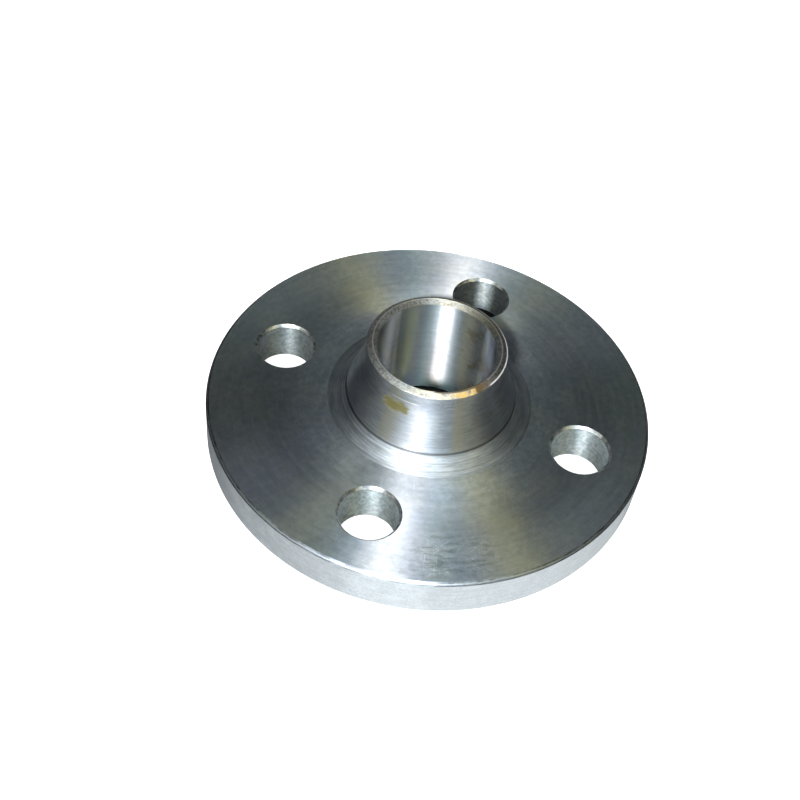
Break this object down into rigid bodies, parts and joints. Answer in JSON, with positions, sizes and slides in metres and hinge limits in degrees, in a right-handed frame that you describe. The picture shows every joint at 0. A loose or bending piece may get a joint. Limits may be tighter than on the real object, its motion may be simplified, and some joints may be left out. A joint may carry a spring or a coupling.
{
  "type": "weld neck counter flange",
  "caption": "Round steel counter flange with a tapered hub, a bevelled pipe neck, a through bore and bolt holes round a raised sealing face.",
  "frame": {"origin": "centre of the raised sealing face, which lies down", "axes": "+Z along the bore from the sealing face towards the neck's weld end; the bolt holes lie halfway between the X and Y axes"},
  "size_m": [0.14, 0.14, 0.04],
  "materials": {
    "turned_steel": "satin turned steel, with light rust on the weld bevel"
  },
  "bodies": {
    "root": {"counter_flange": "turned_steel"}
  },
  "joints": []
}
